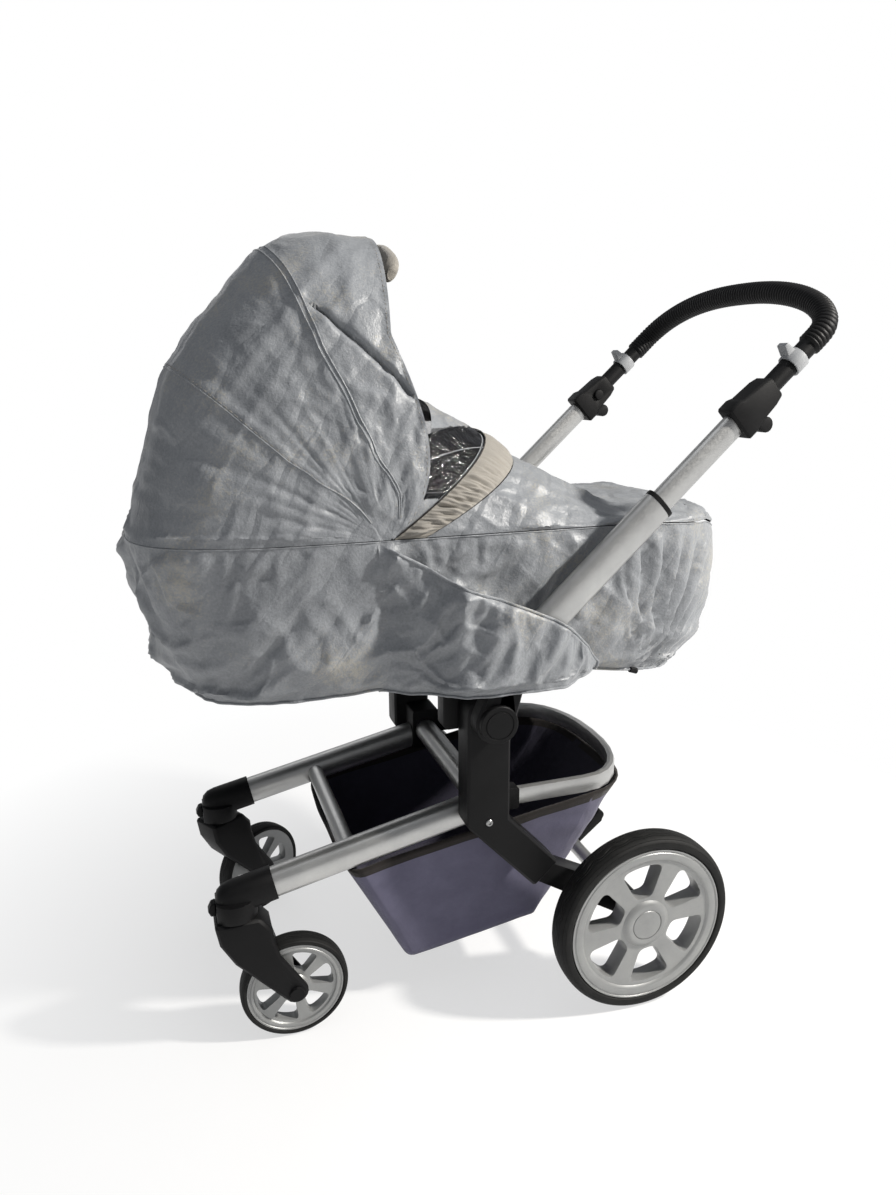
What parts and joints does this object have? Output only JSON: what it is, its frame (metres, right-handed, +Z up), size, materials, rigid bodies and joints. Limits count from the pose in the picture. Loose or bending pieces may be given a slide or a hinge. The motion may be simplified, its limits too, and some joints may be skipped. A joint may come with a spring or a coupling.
{
  "type": "pram",
  "caption": "Low four-wheeled pram with swivelling front castors, a folding telescopic handle, a hooded carrycot under a loose silver rain cover, and a cloth basket.",
  "frame": {"origin": "on the ground, midway along and across the whole pram", "axes": "+Z up; +X towards the handle, so the pram travels towards -X; its left side is at -Y"},
  "size_m": [1.0392, 0.581, 1.1866],
  "materials": {
    "black_nylon": "fine grained black moulding",
    "anodised_aluminium": "satin anodised tube",
    "painted_rim": "grey-silver moulded rim, satin",
    "tyre_rubber": "dark rubber with shallow wavy sipes",
    "basket_cloth": "woven purple-grey cloth",
    "carrycot_cloth": "dark grey woven cloth",
    "cover_cloth": "thin silver-grey coated cloth, creased",
    "band_cloth": "beige gathered cloth",
    "clear_film": "thin glossy film over a dark inside",
    "grip_foam": "black ribbed grip",
    "bright_metal": "light grey moulding",
    "bow_steel": "flat spring steel",
    "mattress_cloth": "pale cotton cover"
  },
  "bodies": {
    "chassis": {"basket": "basket_cloth", "basket_bar": "anodised_aluminium", "carrycot_adapter_left": "black_nylon", "carrycot_adapter_right": "black_nylon", "carrycot_tub": "carrycot_cloth", "caster_housing_left": "black_nylon", "caster_housing_right": "black_nylon", "cover_apron": "cover_cloth", "cover_band": "band_cloth", "cover_flap_left": "cover_cloth", "cover_flap_right": "cover_cloth", "cover_hood": "cover_cloth", "cover_skirt": "cover_cloth", "cover_window": "clear_film", "front_cross_tube": "anodised_aluminium", "hood_cloth": "carrycot_cloth", "knee_bracket_left": "black_nylon", "knee_bracket_right": "black_nylon", "leg_tube_left": "anodised_aluminium", "leg_tube_right": "anodised_aluminium", "main_cross_tube": "anodised_aluminium", "mattress": "mattress_cloth", "rear_axle": "anodised_aluminium"},
    "rear_wheel_left": {"rear_rim_left": "painted_rim", "rear_tyre_left": "tyre_rubber", "rear_hub_cap_left": "painted_rim"},
    "castor_left": {"fork_left": "black_nylon", "front_axle_left": "black_nylon"},
    "front_wheel_left": {"front_rim_left": "painted_rim", "front_tyre_left": "tyre_rubber"},
    "swivel_lock_left": {"swivel_lock_left": "black_nylon"},
    "fold_slider_left": {"fold_slider_left": "bright_metal"},
    "height_button_left": {"height_button_left": "black_nylon"},
    "rear_wheel_right": {"rear_rim_right": "painted_rim", "rear_tyre_right": "tyre_rubber", "rear_hub_cap_right": "painted_rim"},
    "castor_right": {"fork_right": "black_nylon", "front_axle_right": "black_nylon"},
    "front_wheel_right": {"front_rim_right": "painted_rim", "front_tyre_right": "tyre_rubber"},
    "swivel_lock_right": {"swivel_lock_right": "black_nylon"},
    "fold_slider_right": {"fold_slider_right": "bright_metal"},
    "height_button_right": {"height_button_right": "black_nylon"},
    "handle_lower": {"hinge_knuckle_left": "black_nylon", "hinge_knuckle_right": "black_nylon", "handle_outer_tube_left": "anodised_aluminium", "handle_outer_tube_right": "anodised_aluminium", "handle_bush_left": "black_nylon", "handle_bush_right": "black_nylon"},
    "handle_upper": {"handle_inner_tube_left": "anodised_aluminium", "handle_inner_tube_right": "anodised_aluminium", "joint_block_left": "black_nylon", "joint_block_right": "black_nylon", "handlebar": "black_nylon", "handlebar_grip": "grip_foam"},
    "brake": {"brake_pedal": "black_nylon"},
    "hood_front": {"hood_bow_front": "bow_steel", "cover_visor": "band_cloth"},
    "hood_middle": {"hood_bow_middle": "bow_steel"},
    "hood_rear": {"hood_bow_rear": "bow_steel"}
  },
  "joints": [
    {"name": "rear_wheel_spin_left", "type": "hinge", "parent": "chassis", "child": "rear_wheel_left", "pos_m": [0.2035, -0.268, 0.15], "axis": [0, 1, 0], "continuous": true},
    {"name": "castor_swivel_left", "type": "hinge", "parent": "chassis", "child": "castor_left", "pos_m": [-0.4135, -0.154, 0.2222], "axis": [0, 0, 1], "continuous": true},
    {"name": "front_wheel_spin_left", "type": "hinge", "parent": "castor_left", "child": "front_wheel_left", "pos_m": [-0.3335, -0.154, 0.083], "axis": [0, 1, 0], "continuous": true},
    {"name": "swivel_lock_slide_left", "type": "slide", "parent": "chassis", "child": "swivel_lock_left", "axis": [0, 0, -1], "range_m": [0, 0.006]},
    {"name": "rear_wheel_spin_right", "type": "hinge", "parent": "chassis", "child": "rear_wheel_right", "pos_m": [0.2035, 0.268, 0.15], "axis": [0, 1, 0], "continuous": true},
    {"name": "castor_swivel_right", "type": "hinge", "parent": "chassis", "child": "castor_right", "pos_m": [-0.4135, 0.154, 0.2222], "axis": [0, 0, 1], "continuous": true},
    {"name": "front_wheel_spin_right", "type": "hinge", "parent": "castor_right", "child": "front_wheel_right", "pos_m": [-0.34566, 0.19639, 0.083], "axis": [-0.5299, 0.848, 0], "continuous": true},
    {"name": "swivel_lock_slide_right", "type": "slide", "parent": "chassis", "child": "swivel_lock_right", "axis": [0, 0, -1], "range_m": [0, 0.006]},
    {"name": "handle_fold", "type": "hinge", "parent": "chassis", "child": "handle_lower", "pos_m": [-0.0415, 0, 0.513], "axis": [0, -1, 0], "range_deg": [0, 147], "deforming": ["cover_flap_left", "cover_flap_right"]},
    {"name": "handle_height", "type": "slide", "parent": "handle_lower", "child": "handle_upper", "axis": [0.7314, 0, 0.682], "range_m": [-0.11, 0.05]},
    {"name": "fold_slider_slide_left", "type": "slide", "parent": "handle_upper", "child": "fold_slider_left", "axis": [0.7314, 0, 0.682], "range_m": [0, 0.012], "stiffness_N_per_m": 120, "springref_m": -0.004},
    {"name": "height_button_press_left", "type": "slide", "parent": "handle_upper", "child": "height_button_left", "axis": [0, -1, 0], "range_m": [0, 0.003], "stiffness_N_per_m": 150, "springref_m": -0.001},
    {"name": "fold_slider_slide_right", "type": "slide", "parent": "handle_upper", "child": "fold_slider_right", "axis": [0.7314, 0, 0.682], "range_m": [0, 0.012], "stiffness_N_per_m": 120, "springref_m": -0.004},
    {"name": "height_button_press_right", "type": "slide", "parent": "handle_upper", "child": "height_button_right", "axis": [0, 1, 0], "range_m": [0, 0.003], "stiffness_N_per_m": 150, "springref_m": -0.001},
    {"name": "brake_press", "type": "hinge", "parent": "chassis", "child": "brake", "pos_m": [0.2035, 0, 0.15], "axis": [0, 1, 0], "range_deg": [0, 18]},
    {"name": "hood_fold", "type": "hinge", "parent": "chassis", "child": "hood_front", "pos_m": [-0.1965, 0, 0.786], "axis": [0, -1, 0], "range_deg": [0, 78], "deforming": ["hood_cloth", "cover_hood", "cover_window", "cover_band"]},
    {"name": "hood_middle_follow", "type": "hinge", "parent": "chassis", "child": "hood_middle", "pos_m": [-0.1965, 0, 0.786], "axis": [0, -1, 0], "range_deg": [0, 62.5]},
    {"name": "hood_rear_follow", "type": "hinge", "parent": "chassis", "child": "hood_rear", "pos_m": [-0.1965, 0, 0.786], "axis": [0, -1, 0], "range_deg": [0, 42]}
  ],
  "couplings": [
    {"joint": "hood_middle_follow", "follows": "hood_fold", "ratio": 0.795},
    {"joint": "hood_rear_follow", "follows": "hood_fold", "ratio": 0.538}
  ]
}
